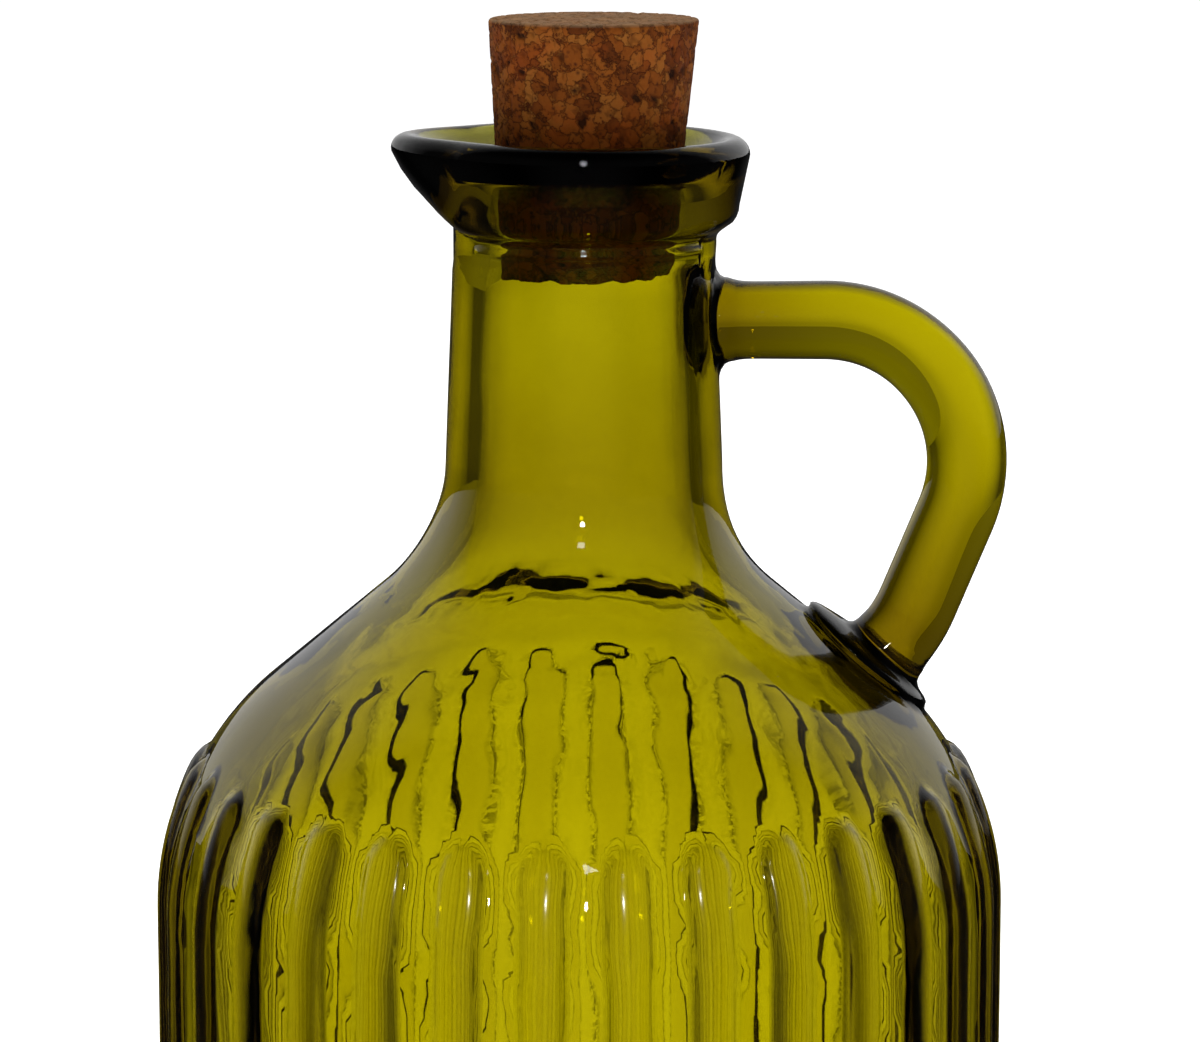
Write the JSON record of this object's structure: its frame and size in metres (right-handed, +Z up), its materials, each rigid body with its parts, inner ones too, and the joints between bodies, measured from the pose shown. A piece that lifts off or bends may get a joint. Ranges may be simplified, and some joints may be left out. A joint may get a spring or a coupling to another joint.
{
  "type": "oil cruet",
  "caption": "Ribbed green glass oil cruet with a pouring lip, a solid glass rod handle and a tapered cork stopper.",
  "frame": {"origin": "on the axis of the bottle's body, in the plane that its foot ring stands on", "axes": "+Z up along the bottle's axis, +X towards the handle, the pouring spout points to -X"},
  "size_m": [0.1201, 0.1198, 0.2065],
  "materials": {
    "glass": "clear yellow-green recycled glass with fine waves, seeds and bubbles",
    "cork": "pressed cork granules with dark crevices"
  },
  "bodies": {
    "root": {"bottle": "glass", "cork": "cork"}
  },
  "joints": []
}
